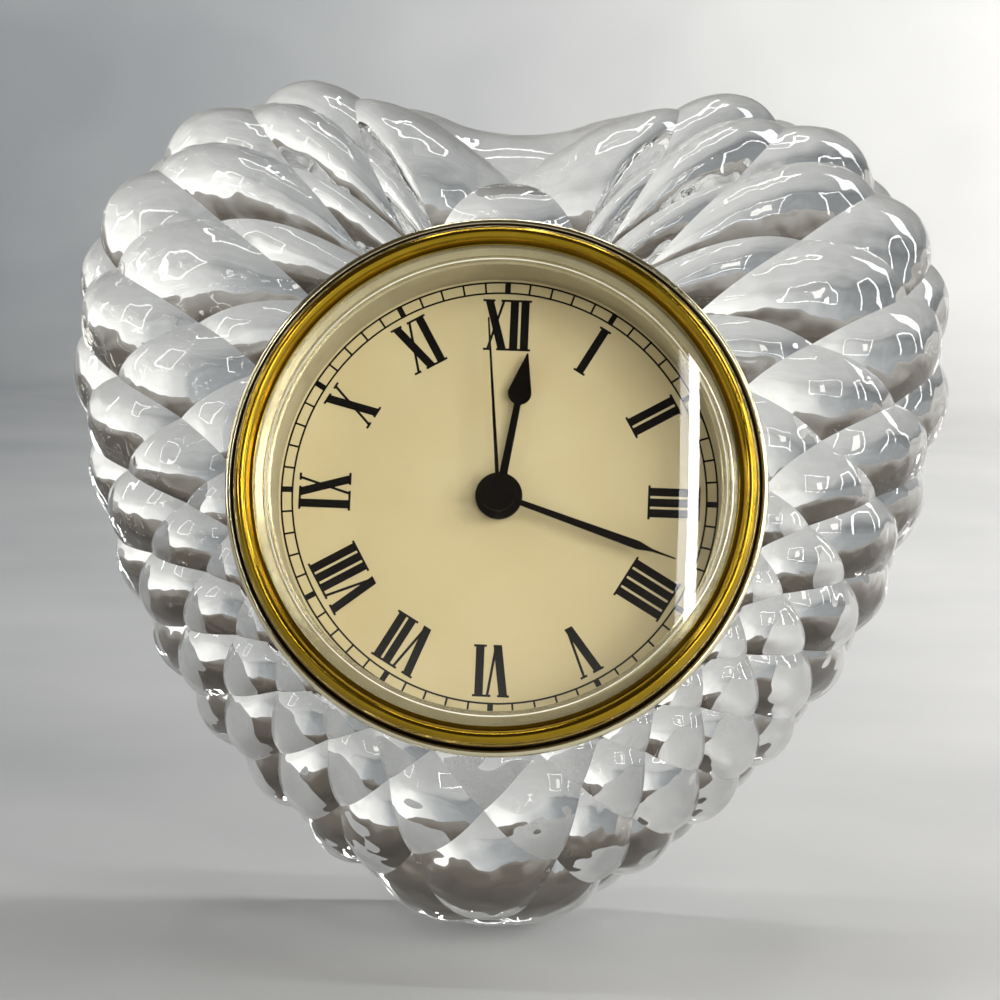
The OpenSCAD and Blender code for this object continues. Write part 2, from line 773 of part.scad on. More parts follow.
module coil_winding() {
  color("sienna") along_coil() tube(coil_r, spool_r + 0.02, 0.02 - coil_half, coil_half - 0.02);
}

module coil_screws() {
  color("silver") each_at(core_ends) screw(0.85, screw_r - 0.02, core_back, stator_top + 1);
}

// Soft-iron plate whose two legs join the rotor's hole to the ends of the core
module stator() {
  knee_y = core_ends[0].y - 3.5;
  left = [core_ends[0].x, knee_y];
  right = [core_ends[1].x, knee_y];
  color("silver") difference() {
    union() {
      at(rotor_c) rod(magnet_r + stator_gap + 1.2, stator_back, stator_top);
      strip([rotor_c.x - 3.6, knee_y], left, 1.8, stator_back, stator_top);
      strip(rotor_c, [rotor_c.x - 3.6, knee_y], 1.8, stator_back, stator_top);
      strip(left, core_ends[0], 1.8, stator_back, stator_top);
      strip(rotor_c, right, 1.8, stator_back, stator_top);
      strip(right, core_ends[1], 1.8, stator_back, stator_top);
    }
    at(rotor_c) rod(magnet_r + stator_gap, stator_back - past, stator_top + past);
    each_at(core_ends) rod(screw_r + 0.05, stator_back - past, stator_top + past);
  }
}

module pivots(low, high) {
  rod(pivot_r, low, high, 24);
}

module rotor_arbor() {
  color("white") at(rotor_c) {
    pivots(bridge_back + 0.1, middle_back + 0.5);
    gear(rotor_teeth, rotor_mod, mesh_turn(fifth_teeth, 0, rotor_teeth, rotor_dir),
      level_back(3) - 0.12, level_top(3) + 0.12);
    rod(0.45, level_top(3), middle_back - 0.1);
  }
}

module rotor_magnet() {
  color("slategray") at(rotor_c) tube(magnet_r, 0.46, magnet_top - magnet_t, magnet_top);
}

module fifth_wheel() {
  color("white") at(fifth_c) {
    pivots(bridge_back + 0.1, middle_back + 0.5);
    wheel(fifth_teeth, rotor_mod, 0, level_back(3), level_top(3), 5);
    gear(fifth_leaves, fifth_mod, mesh_turn(seconds_teeth, 0, fifth_leaves, fifth_dir),
      level_back(2) - 0.12, level_top(2) + 0.12);
    rod(0.35, level_back(3), middle_back - 0.1, 24);
  }
}

module seconds_wheel() {
  color("white") {
    pivots(bridge_back + 0.1, bridge_top + past);
    wheel(seconds_teeth, fifth_mod, 0, level_back(2), level_top(2), 5);
    gear(seconds_leaves, third_mod, 0, level_back(1) - 0.12, level_top(1) + 0.12);
    rod(arbor_r, bridge_top + 0.1, second_top - 0.1);
  }
}

module third_wheel() {
  color("white") at(third_c) {
    pivots(bridge_back + 0.1, middle_back + 0.5);
    wheel(third_teeth, third_mod, mesh_turn(seconds_leaves, 0, third_teeth, third_dir),
      level_back(1), level_top(1), 5);
    gear(third_leaves, centre_mod, 0, level_back(0) - 0.12, level_top(0) + 0.12);
    rod(0.35, bridge_top + 0.1, middle_back - 0.1, 24);
  }
}

module centre_wheel() {
  color("gold") difference() {
    union() {
      wheel(centre_teeth, centre_mod, mesh_turn(third_leaves, 0, centre_teeth, third_dir + 180),
        level_back(0), level_top(0), 5);
      rod(centre_tube_r, level_back(0), dial_top + 0.3);
    }
    rod(centre_tube_in, level_back(0) - past, dial_top + 0.3 + past);
  }
}

module cannon_pinion() {
  color("gold") difference() {
    union() {
      gear(cannon_teeth, cannon_mod, 0, middle_top + 0.1, minute_wheel_back + wheel_t + 0.15);
      rod(cannon_r, middle_top + 0.1, minute_top + 0.05);
    }
    rod(cannon_in, middle_top - past, minute_top + past);
  }
}

module minute_wheel() {
  color("white") at(minute_c) difference() {
    union() {
      wheel(minute_teeth, cannon_mod, minute_wheel_turn, minute_wheel_back, minute_wheel_back + wheel_t, 5);
      gear(minute_leaves, hour_mod, 0, minute_wheel_back + wheel_t / 2, hour_wheel_back + wheel_t + 0.1);
    }
    rod(0.5 + turn_gap, minute_wheel_back - past, front_back);
  }
}

module hour_wheel() {
  color("white") difference() {
    union() {
      wheel(hour_teeth, hour_mod, mesh_turn(minute_leaves, 0, hour_teeth, motion_dir + 180),
        hour_wheel_back, hour_wheel_back + wheel_t, 5);
      rod(hour_pipe_r, hour_wheel_back, hour_top + 0.05);
    }
    rod(hour_pipe_in, hour_wheel_back - past, hour_top + past);
  }
}

// Tapered blade from the hub to a tip, as half widths at distances along the hand
module blade(profile, low, high) {
  outline = concat(
    [for (p = profile) [-p.y, p.x]],
    [for (k = [len(profile) - 1:-1:0]) [profile[k].y, profile[k].x]]
  );
  translate([0, 0, low]) linear_extrude(high - low) polygon(outline);
}

hour_hub_r = 2.7;
minute_hub_r = hour_hub_r * 8 / 9;
second_cap_r = hour_hub_r * 7 / 9;
leaf_r = 1.35;
leaf_at = hour_len * 0.72;
module hour_hand() {
  low = hour_top - hand_t;
  // The leaf is a drop: round towards the hub, drawn out to a point at the tip
  tip_slope = asin(leaf_r / (hour_len - leaf_at));
  color("black") rotate([0, 0, -hour_turn]) difference() {
    union() {
      rod(hour_hub_r, low - 0.25, hour_top);
      blade([[0, 0.5], [leaf_at, 0.38]], low, hour_top);
      translate([0, leaf_at, 0]) rod(leaf_r, low, hour_top);
      blade([[leaf_at + leaf_r * sin(tip_slope), leaf_r * cos(tip_slope)], [hour_len, 0.08]], low, hour_top);
    }
    rod(hour_pipe_r + seat_gap / 2, low - past, hour_top + past);
  }
}

module minute_hand() {
  low = minute_top - hand_t;
  widest = minute_len * 0.79;
  color("black") rotate([0, 0, -minute_turn]) difference() {
    union() {
      rod(minute_hub_r, low - 0.25, minute_top);
      blade([[0, 0.29], [widest, 0.5], [minute_len * 0.87, 0.16], [minute_len, 0.07]], low, minute_top);
    }
    rod(cannon_r + seat_gap / 2, low - past, minute_top + past);
  }
}

module second_hand() {
  low = second_top - hand_t;
  color("black") rotate([0, 0, -second_turn]) difference() {
    union() {
      rod(second_cap_r, low, second_top + 0.35);
      rod(second_cap_r * 0.43, low - 0.35, low + 0.1);
      blade([[-3, 0.25], [second_len * 0.5, 0.2], [second_len, 0.1]], low, second_top);
    }
    rod(arbor_r + seat_gap / 2, low - past, second_top);
  }
}

module setting_stem() {
  color("silver") at(knob_c) {
    rod(stem_r, knob_top - knob_h / 2, middle_top + past);
    gear(cannon_teeth, cannon_mod, mesh_turn(minute_teeth, minute_wheel_turn, cannon_teeth, motion_dir),
      middle_top + 0.1, minute_wheel_back + wheel_t + 0.15);
  }
}

module setting_knob() {
  grips = 18;
  color("white") at(knob_c) difference() {
    rod(knob_r, knob_back, knob_top, 64);
    rod(stem_r + 0.01, knob_top - knob_h / 2, knob_top + past);
    for (k = [0:grips - 1]) rotate([0, 0, k * 360 / grips])
      translate([knob_r + 0.15, 0, 0]) rod(0.45, knob_back - past, knob_top + past, 16);
    translate([0, 0, knob_back - past]) cylinder(r = knob_r - 1.2, h = past + 0.4, $fn = 64);
  }
}

stand() crystal_heart();
stand() bezel_ring();
stand() lens();
stand() reflector_ring();
stand() dial_plate();
stand() insert_case();
stand() ribbed_gasket();
stand() front_plate();
stand() middle_plate();
stand() train_bridge();
stand() bridge_screws();
stand() back_cover();
stand() cover_screws();
stand() battery_cover();
stand() button_cell();
stand() contact_positive();
stand() contact_negative();
stand() circuit_board();
stand() board_screws();
stand() driver_chip();
stand() crystal_can();
stand() coil_core();
stand() coil_bobbin();
stand() coil_winding();
stand() coil_screws();
stand() stator();
stand() rotor_arbor();
stand() rotor_magnet();
stand() fifth_wheel();
stand() seconds_wheel();
stand() third_wheel();
stand() centre_wheel();
stand() cannon_pinion();
stand() minute_wheel();
stand() hour_wheel();
stand() hour_hand();
stand() minute_hand();
stand() second_hand();
stand() setting_stem();
stand() setting_knob();
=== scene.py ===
"""Looks of a heart-shaped crystal desk clock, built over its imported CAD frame."""

import json
import math

import bmesh
import bpy
from mathutils import Matrix, Vector

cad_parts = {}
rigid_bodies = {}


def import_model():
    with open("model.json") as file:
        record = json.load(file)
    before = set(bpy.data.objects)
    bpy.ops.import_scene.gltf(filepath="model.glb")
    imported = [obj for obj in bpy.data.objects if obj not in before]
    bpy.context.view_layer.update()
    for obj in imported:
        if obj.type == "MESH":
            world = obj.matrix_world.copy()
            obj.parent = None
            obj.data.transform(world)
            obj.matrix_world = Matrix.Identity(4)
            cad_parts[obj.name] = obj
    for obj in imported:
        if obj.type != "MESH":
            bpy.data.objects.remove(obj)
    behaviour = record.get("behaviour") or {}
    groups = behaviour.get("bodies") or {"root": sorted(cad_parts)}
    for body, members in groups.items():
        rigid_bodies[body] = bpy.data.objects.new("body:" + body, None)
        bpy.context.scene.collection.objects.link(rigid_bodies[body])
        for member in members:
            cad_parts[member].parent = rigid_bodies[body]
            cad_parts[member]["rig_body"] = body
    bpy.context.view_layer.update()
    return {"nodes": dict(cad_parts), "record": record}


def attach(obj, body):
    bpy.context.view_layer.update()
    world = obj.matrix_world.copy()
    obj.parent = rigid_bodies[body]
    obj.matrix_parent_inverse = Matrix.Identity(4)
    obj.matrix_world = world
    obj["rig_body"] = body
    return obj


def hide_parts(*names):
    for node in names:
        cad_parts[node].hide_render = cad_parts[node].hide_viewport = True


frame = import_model()

# The clock is modelled as if it lay face up: millimetres, x across the dial, y up the dial,
# z out of the dial, with the front of the crystal at z = 0 and the bore on the z axis.
MM, METRE = 0.001, 1000
LEAN = math.radians(15)
FOOT_DROP = 53.8
MIDDLE = Vector((0, -0.0184564, 0.0538))
UPRIGHT = math.pi / 2 - LEAN
STAND = Matrix.Translation(MIDDLE) @ Matrix.Rotation(UPRIGHT, 4, "X") @ Matrix.Scale(MM, 4)

# Noise seldom leaves this range
NOISE_LOW, NOISE_HIGH = 0.3, 0.7
CRYSTAL_IOR, FLOAT_IOR = 1.54, 1.5


# Colours and nodes


def colour(hex_code):
    """Linear RGBA from an sRGB hex value."""
    parts = [int(hex_code[i : i + 2], 16) / 255 for i in (1, 3, 5)]
    linear = [c / 12.92 if c <= 0.04045 else ((c + 0.055) / 1.055) ** 2.4 for c in parts]
    return (*linear, 1.0)


def add(tree, kind, inputs=None, **settings):
    """Add a node with its settings; inputs maps sockets to values or to other nodes' outputs."""
    node = tree.nodes.new(kind)
    for name, value in settings.items():
        setattr(node, name, value)
    for socket, value in (inputs or {}).items():
        if isinstance(value, bpy.types.NodeSocket):
            tree.links.new(value, node.inputs[socket])
        else:
            node.inputs[socket].default_value = value
    return node


def finish(name, **shader):
    """New material with one Principled shader; returns the material, its tree and the shader."""
    material = bpy.data.materials.new(name)
    material.use_nodes = True
    tree = material.node_tree
    tree.nodes.clear()
    values = {key.replace("_", " "): value for key, value in shader.items()}
    surface = add(tree, "ShaderNodeBsdfPrincipled", values)
    add(tree, "ShaderNodeOutputMaterial", {"Surface": surface.outputs["BSDF"]})
    return material, tree, surface


def computed(tree, operation, *values):
    """Result of a Math node."""
    return add(tree, "ShaderNodeMath", dict(enumerate(values)), operation=operation).outputs[0]


def clock_space(tree):
    """Object coordinates turned into the clock's own millimetres, with z along the bore."""
    place = add(tree, "ShaderNodeTexCoord").outputs["Object"]
    lying = add(tree, "ShaderNodeMapping", {"Vector": place}, vector_type="TEXTURE")
    lying.inputs["Location"].default_value = MIDDLE
    lying.inputs["Rotation"].default_value = (UPRIGHT, 0, 0)
    lying.inputs["Scale"].default_value = (MM, MM, MM)
    return lying.outputs["Vector"]


def grain(tree, place, size, detail=2.0):
    """Noise whose patches are about size across, in the unit of place."""
    inputs = {"Vector": place, "Scale": 1 / size, "Detail": detail}
    return add(tree, "ShaderNodeTexNoise", inputs).outputs["Fac"]


def between(tree, amount, low, high, start=NOISE_LOW, end=NOISE_HIGH):
    """Number that goes from low to high while amount goes from start to end."""
    spread = add(
        tree,
        "ShaderNodeMapRange",
        {"Value": amount, "From Min": start, "From Max": end, "To Min": low, "To Max": high},
    )
    return spread.outputs["Result"]


def tinted(tree, amount, first, second):
    """Colour that runs from first to second over the usual range of noise."""
    ramp = add(tree, "ShaderNodeValToRGB", {"Fac": amount})
    start, end = ramp.color_ramp.elements
    start.position, start.color = NOISE_LOW, colour(first)
    end.position, end.color = NOISE_HIGH, colour(second)
    return ramp.outputs["Color"]


def relief(tree, height, depth_mm):
    """Normal for a surface that rises and falls by depth_mm."""
    bump = add(
        tree, "ShaderNodeBump", {"Height": height, "Distance": depth_mm * MM, "Strength": 1.0}
    )
    return bump.outputs["Normal"]


def clear_glass(name, tint, **shader):
    return finish(name, Base_Color=colour(tint), Transmission_Weight=1.0, **shader)


# Finishes


def lead_crystal():
    """Pressed lead crystal, fire-polished: clear and glossy, with faint waves left by the mould."""
    material, tree, surface = clear_glass(
        "lead_crystal", "#FCFDFC", Roughness=0.0, IOR=CRYSTAL_IOR
    )
    waves = grain(tree, clock_space(tree), 5.0, 1.0)
    tree.links.new(relief(tree, waves, 0.55), surface.inputs["Normal"])
    return material


def ground_crystal():
    """Bore ground with grit and left matt: it glows whitish through the cut front."""
    material, tree, surface = clear_glass("ground_crystal", "#F4F5F3", IOR=CRYSTAL_IOR)
    scratches = grain(tree, clock_space(tree), 0.35, 3.0)
    tree.links.new(between(tree, scratches, 0.35, 0.5), surface.inputs["Roughness"])
    tree.links.new(relief(tree, scratches, 0.02), surface.inputs["Normal"])
    return material


def window_glass():
    """Mineral glass, pressed and polished: clear and mirror-smooth, and lets the lamps through."""
    material, tree, surface = clear_glass(
        "lens_mineral_glass", "#FEFEFD", Roughness=0.0, IOR=FLOAT_IOR
    )
    smear = grain(tree, clock_space(tree), 9.0)
    tree.links.new(between(tree, smear, 0.0, 0.03), surface.inputs["Roughness"])
    ray = add(tree, "ShaderNodeLightPath")
    clear = add(tree, "ShaderNodeBsdfTransparent", {"Color": colour("#F6F6F4")})
    mixed = add(
        tree,
        "ShaderNodeMixShader",
        {0: ray.outputs["Is Shadow Ray"], 1: surface.outputs["BSDF"], 2: clear.outputs["BSDF"]},
    )
    tree.links.new(mixed.outputs["Shader"], tree.nodes["Material Output"].inputs["Surface"])
    return material


def polished_brass():
    """Stamped brass, polished and lacquered: deep gold with hard dark and bright reflections."""
    material, tree, surface = finish("polished_brass", Metallic=1.0)
    place = clock_space(tree)
    handling = grain(tree, place, 6.0, 3.0)
    tree.links.new(tinted(tree, handling, "#AE8E24", "#BD9C2E"), surface.inputs["Base Color"])
    tree.links.new(between(tree, handling, 0.13, 0.2), surface.inputs["Roughness"])
    # Buffing leaves fine haze of about half a millimetre
    tree.links.new(relief(tree, grain(tree, place, 0.5), 0.004), surface.inputs["Normal"])
    return material


def dial_enamel():
    """Printed dial, champagne enamel on thin brass: warm cream with a fine satin grain."""
    material, tree, surface = finish("dial_enamel", Specular_IOR_Level=0.35)
    place = clock_space(tree)
    cloud = grain(tree, place, 9.0)
    tree.links.new(tinted(tree, cloud, "#CFBF92", "#D5C79B"), surface.inputs["Base Color"])
    tree.links.new(between(tree, cloud, 0.42, 0.5), surface.inputs["Roughness"])
    tree.links.new(relief(tree, grain(tree, place, 0.18), 0.006), surface.inputs["Normal"])
    return material


def satin_ring():
    """Turned aluminium, lacquered pale olive: satin, with fine turning lines round the dial."""
    material, tree, surface = finish("lacquered_ring", Metallic=0.8)
    place = clock_space(tree)
    flat = add(tree, "ShaderNodeVectorMath", {0: place, 1: (1.0, 1.0, 0.0)}, operation="MULTIPLY")
    radius = add(tree, "ShaderNodeVectorMath", {0: flat.outputs["Vector"]}, operation="LENGTH")
    # A turning line every 0.15 mm of the radius
    lines = computed(tree, "SINE", computed(tree, "MULTIPLY", radius.outputs["Value"], 42.0))
    lacquer = grain(tree, place, 4.0)
    tree.links.new(tinted(tree, lacquer, "#CDC39C", "#D9CFA9"), surface.inputs["Base Color"])
    tree.links.new(between(tree, lines, 0.14, 0.24, -1.0, 1.0), surface.inputs["Roughness"])
    tree.links.new(relief(tree, lines, 0.004), surface.inputs["Normal"])
    return material


def gloss_black():
    """Black stoving lacquer on stamped metal: near-black with sharp wet highlights, faint dust."""
    material, tree, surface = finish("gloss_black_lacquer", Specular_IOR_Level=0.35)
    dust = grain(tree, clock_space(tree), 0.8, 3.0)
    tree.links.new(tinted(tree, dust, "#020202", "#060505"), surface.inputs["Base Color"])
    tree.links.new(between(tree, dust, 0.06, 0.14), surface.inputs["Roughness"])
    return material


def printing_ink():
    """Pad-printed black ink: flat black with a slightly uneven, softly matt film."""
    material, tree, surface = finish("printing_ink", Specular_IOR_Level=0.08)
    film = grain(tree, clock_space(tree), 0.5, 3.0)
    tree.links.new(tinted(tree, film, "#020101", "#060504"), surface.inputs["Base Color"])
    tree.links.new(between(tree, film, 0.45, 0.6), surface.inputs["Roughness"])
    return material


def moulded(name, dark, light, rough, texture_mm=0.35, depth_mm=0.01):
    """Injection-moulded plastic: even colour, fine spark-eroded texture and a soft sheen."""
    material, tree, surface = finish(name)
    place = clock_space(tree)
    flow = grain(tree, place, 5.0)
    tree.links.new(tinted(tree, flow, dark, light), surface.inputs["Base Color"])
    texture = grain(tree, place, texture_mm)
    uneven = between(tree, texture, rough - 0.06, rough + 0.06)
    tree.links.new(uneven, surface.inputs["Roughness"])
    tree.links.new(relief(tree, texture, depth_mm), surface.inputs["Normal"])
    return material


def metal(name, dark, light, rough, scuff_mm=0.25, depth_mm=0.004):
    """Small metal part, tumbled or plated: bright, with fine scuffs that break reflections up."""
    material, tree, surface = finish(name, Metallic=1.0)
    place = clock_space(tree)
    scuffs = grain(tree, place, scuff_mm, 3.0)
    tree.links.new(tinted(tree, grain(tree, place, 3.0), dark, light), surface.inputs["Base Color"])
    tree.links.new(between(tree, scuffs, rough - 0.07, rough + 0.07), surface.inputs["Roughness"])
    tree.links.new(relief(tree, scuffs, depth_mm), surface.inputs["Normal"])
    return material


def enamelled_wire():
    """Copper wire, drawn, enamelled and wound in a coil: reddish brown with fine ridges, and
    painted shade darker in the hollows between turns.
    """
    material, tree, surface = finish("enamelled_copper_wire", Metallic=0.8)
    place = clock_space(tree)
    turns = add(
        tree,
        "ShaderNodeTexWave",
        {"Vector": place, "Scale": 1.3, "Distortion": 0.3},
        wave_type="BANDS",
        bands_direction="X",
    )
    ridge = turns.outputs["Fac"]
    # Painted shade: the colour follows the ridges, dark in the hollows between turns and light on
    # the crests
    tree.links.new(tinted(tree, ridge, "#6E2E14", "#B4552A"), surface.inputs["Base Color"])
    tree.links.new(between(tree, ridge, 0.25, 0.4), surface.inputs["Roughness"])
    tree.links.new(relief(tree, ridge, 0.04), surface.inputs["Normal"])
    return material


def circuit_lacquer():
    """Solder-resist lacquer over copper tracks: dark green, glossy, with faint blocky tracks."""
    material, tree, surface = finish("solder_resist", Coat_Weight=0.5)
    tracks = add(
        tree,
        "ShaderNodeTexBrick",
        {
            "Vector": clock_space(tree),
            "Scale": 0.35,
            "Color1": colour("#0E4A26"),
            "Color2": colour("#115730"),
            "Mortar": colour("#1E7A40"),
            "Mortar Size": 0.03,
        },
    )
    tree.links.new(tracks.outputs["Color"], surface.inputs["Base Color"])
    film = between(tree, tracks.outputs["Fac"], 0.3, 0.4, 0.0, 1.0)
    tree.links.new(film, surface.inputs["Roughness"])
    return material


CRYSTAL = lead_crystal()
GROUND = ground_crystal()
LENS = window_glass()
BRASS = polished_brass()
DIAL = dial_enamel()
RING = satin_ring()
# Painted shade: the ring's deep wall gets a darker, greyer olive than the ring's land
SHADED_RING_WALL = moulded("ring_wall_painted_shade", "#A9A183", "#B6AE91", 0.34)
BLACK = gloss_black()
INK = printing_ink()
# Plain soft white
CASE = moulded("white_abs", "#E6E5DF", "#EFEEEA", 0.4)
# Milky and a little lumpy, as soft vinyl is
GASKET = moulded("milky_soft_vinyl", "#DDDCD4", "#E8E7E0", 0.35, 0.8, 0.02)
# Ivory with a waxy sheen
PLATES = moulded("natural_acetal", "#E4E1D6", "#EEEBE2", 0.38)
# Charcoal with a fine grain
COVER = moulded("black_abs", "#171717", "#222222", 0.48, 0.3, 0.02)
# Clean white, glossier than the plates
GEARS = moulded("white_acetal", "#EDECE6", "#F6F5F1", 0.3)
# Black with a light grain
KNOB = moulded("black_knob_abs", "#141414", "#1E1E1E", 0.4, 0.3, 0.015)
# Wet-looking black blob
RESIN = moulded("black_epoxy", "#0B0B0C", "#161617", 0.2, 1.2, 0.02)
# Painted shade: the groove of the bezel is coloured near-black so that it reads as a dark line
CREASE = metal("crease_painted_shade_brass", "#241A0A", "#332611", 0.45)
# Painted highlight: the bead at the rim of the bezel is coloured pale cream, brighter than the
# band's brass
EDGE = metal("bead_painted_highlight_brass", "#EFE6BE", "#F6EECD", 0.14)
# Warm yellow, dulled by fine cuts
GEAR_BRASS = metal("cut_brass", "#B98F3A", "#CDA650", 0.3)
# Lighter yellow, smooth strip
CONTACT = metal("spring_brass", "#B9923F", "#D0AC58", 0.28)
# Cool grey with a soft sheen
SCREWS = metal("zinc_plated_steel", "#9FA2A4", "#B9BBBD", 0.3)
# Cool, brighter grey
STEEL = metal("turned_steel", "#A3A5A6", "#BCBEBF", 0.24)
# Warm silver, nearly a mirror
CELL = metal("nickel_plate", "#B4B3AE", "#C9C8C3", 0.2)
# Dark dull sheet
IRON = metal("soft_iron", "#77756F", "#8C8A84", 0.4)
# Near-black and gritty
MAGNET = metal("sintered_magnet", "#3E3E40", "#55555A", 0.5, 0.15, 0.01)
WIRE = enamelled_wire()
BOARD = circuit_lacquer()

SLOT_FINISHES = {
    "crystal": CRYSTAL,
    "polished_brass": BRASS,
    "lens_glass": LENS,
    "ring_plastic": RING,
    "dial_face": DIAL,
    "case_plastic": CASE,
    "gasket_rubber": GASKET,
    "movement_plastic": PLATES,
    "cover_plastic": COVER,
    "gear_plastic": GEARS,
    "gear_brass": GEAR_BRASS,
    "screw_steel": SCREWS,
    "stem_steel": STEEL,
    "cell_steel": CELL,
    "contact_brass": CONTACT,
    "board": BOARD,
    "chip_resin": RESIN,
    "soft_iron": IRON,
    "copper_wire": WIRE,
    "magnet": MAGNET,
    "hand_black": BLACK,
    "knob_plastic": KNOB,
}
NODE_SLOTS = {row["node"]: row["material_slot"] for row in frame["record"]["subparts"]}
for node_name, node in frame["nodes"].items():
    node.data.materials.clear()
    node.data.materials.append(SLOT_FINISHES[NODE_SLOTS[node_name]])


# Making pieces


# Points closer than this many millimetres become one
WELD = 1e-4
SMOOTH_BELOW = math.radians(14)


def piece(name, bm, body, finishes, replaced=(), in_clock=True):
    """Stand a finished shape in its place, as a piece that rides on a body."""
    if in_clock:
        bm.transform(STAND)
    for edge in bm.edges:
        edge.smooth = len(edge.link_faces) != 2 or edge.calc_face_angle(0) < SMOOTH_BELOW
    for face in bm.faces:
        face.smooth = True
    mesh = bpy.data.meshes.new(name)
    bm.to_mesh(mesh)
    bm.free()
    for material in finishes:
        mesh.materials.append(material)
    made = bpy.data.objects.new(name, mesh)
    bpy.context.scene.collection.objects.link(made)
    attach(made, body)
    if replaced:
        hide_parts(*replaced)
    return made


def spun(bm, profile, steps):
    """Turn a closed outline of (radius, height) points round the clock's axis."""
    points = [bm.verts.new((radius, 0, height)) for radius, height in profile]
    edges = [bm.edges.new(pair) for pair in zip(points, points[1:] + points[:1])]
    bmesh.ops.spin(
        bm, geom=points + edges, axis=(0, 0, 1), angle=2 * math.pi, steps=steps, use_merge=True
    )


def turned(profile, steps=192):
    """Shape turned from one outline, closed at the axis where the outline reaches it."""
    bm = bmesh.new()
    spun(bm, profile, steps)
    bmesh.ops.remove_doubles(bm, verts=bm.verts, dist=WELD)
    bmesh.ops.recalc_face_normals(bm, faces=bm.faces)
    return bm


def arc(centre, rx, ry, start, end, steps):
    """Points along an ellipse's arc, from one angle to another in degrees."""
    angles = [math.radians(start + (end - start) * k / steps) for k in range(steps + 1)]
    return [(centre[0] + rx * math.cos(a), centre[1] + ry * math.sin(a)) for a in angles]


def softened(node, width_mm):
    """Copy of a CAD node, on its body, with its hard edges rounded over."""
    source = frame["nodes"][node]
    bm = bmesh.new()
    bm.from_mesh(source.data)
    bmesh.ops.remove_doubles(bm, verts=bm.verts, dist=0.002 * MM)
    bmesh.ops.dissolve_limit(
        bm, angle_limit=math.radians(0.5), verts=bm.verts, edges=bm.edges, delimit={"NORMAL"}
    )
    slot = NODE_SLOTS[node]
    body, finishes = source["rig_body"], [SLOT_FINISHES[slot]]
    made = piece(node + "_rounded", bm, body, finishes, [node], in_clock=False)
    rounding = made.modifiers.new("rounded_edges", "BEVEL")
    rounding.width = width_mm * MM
    rounding.segments = 2
    rounding.limit_method = "ANGLE"
    rounding.angle_limit = math.radians(35)
    return made


# The crystal heart

# Outline: lobe, cheek, tip and notch are arcs, and each touches the next
LOBE_R, LOBE_C = 29.5, Vector((23.0, 22.0))
CHEEK_R, TIP_R, NOTCH_R = 82.0, 16.0, 16.0
TIP_REACH = 49.4
TIP_C = Vector((0.0, TIP_R - TIP_REACH))
NOTCH_C = Vector((0.0, LOBE_C.y + math.sqrt((LOBE_R + NOTCH_R) ** 2 - LOBE_C.x**2)))

# Section: a crown that curves from the bezel to the side, then a side that tapers to the back
HEART_T, CROWN_D, BACK_EDGE, SIDE_TAPER = 40.0, 23.0, 1.2, 1.8
BORE_R, SEAT_R, CUT_R = 27.0, 29.6, 30.2
# The crown's slope at level n is n * SLOPE_RISE + n * n * SLOPE_GAIN degrees, 90 at the side
SLOPE_RISE, SLOPE_GAIN = 16.5, 4.5

# Cutting: levels run from 0 at the bezel over SIDE_LEVEL to LEVELS at the back
DIAMONDS, LEVELS, SIDE_LEVEL = 24, 4, 3
GROOVE_D, TIP_WIDE, NOTCH_WIDE = 2.2, 22.7, 40.0
# In the lobes the columns bend by degrees, the rows move by levels, the grooves deepen by a share
LOBE_BEND, LOBE_LIFT, LOBE_DEEP = 16.0, 0.7, 0.7
# Where on the half heart, from tip to notch, each of the three begins and is full
BEND_SPAN, LIFT_SPAN, DEEP_SPAN = (0.54, 1.0), (0.66, 0.78), (0.5, 0.75)
BEND_FADE = 1.3
# The finer facets here would bulge past the frame's flat ones by this much
FLAT = 0.04


def cheek_centre():
    """Centre of the arc that touches the lobe and the tip from outside."""
    lobe_reach, tip_reach = CHEEK_R - LOBE_R, CHEEK_R - TIP_R
    span = TIP_C - LOBE_C
    along = (lobe_reach**2 - tip_reach**2 + span.length**2) / (2 * span.length)
    off = math.sqrt(lobe_reach**2 - along**2)
    unit = span.normalized()
    return LOBE_C + unit * along + Vector((unit.y, -unit.x)) * off


def heading(point):
    """Direction of a point from the bore's axis, in degrees."""
    return math.degrees(math.atan2(point.y, point.x))


CHEEK_C = cheek_centre()
TIP_END = heading(TIP_C + (TIP_C - CHEEK_C) / (CHEEK_R - TIP_R) * TIP_R)
LOBE_START = heading(LOBE_C + (LOBE_C - CHEEK_C) / (CHEEK_R - LOBE_R) * LOBE_R)
LOBE_END = heading(LOBE_C + (NOTCH_C - LOBE_C) / (LOBE_R + NOTCH_R) * LOBE_R)


def heart_reach(direction):
    """Distance from the bore's axis to the heart's outline, in a direction in degrees."""
    turn = 180 - direction if direction > 90 else direction
    if turn < TIP_END:
        centre, radius, root = TIP_C, TIP_R, 1
    elif turn < LOBE_START:
        centre, radius, root = CHEEK_C, CHEEK_R, 1
    elif turn < LOBE_END:
        centre, radius, root = LOBE_C, LOBE_R, 1
    else:
        centre, radius, root = NOTCH_C, NOTCH_R, -1
    ray = Vector((math.cos(math.radians(turn)), math.sin(math.radians(turn))))
    along = centre.dot(ray)
    return along + root * math.sqrt(along**2 - centre.length_squared + radius**2)


def diamond_direction(count):
    """Direction, in degrees, of a place counted in diamonds round the heart from its tip."""
    top = DIAMONDS / 2
    side_wide = (360 - TIP_WIDE - NOTCH_WIDE) / (DIAMONDS - 2)
    if count > top:
        return 180 - diamond_direction(DIAMONDS - count)
    if count < 0.5:
        return count * TIP_WIDE - 90
    if count < top - 0.5:
        return (count - 0.5) * side_wide + TIP_WIDE / 2 - 90
    return 90 - (top - count) * NOTCH_WIDE


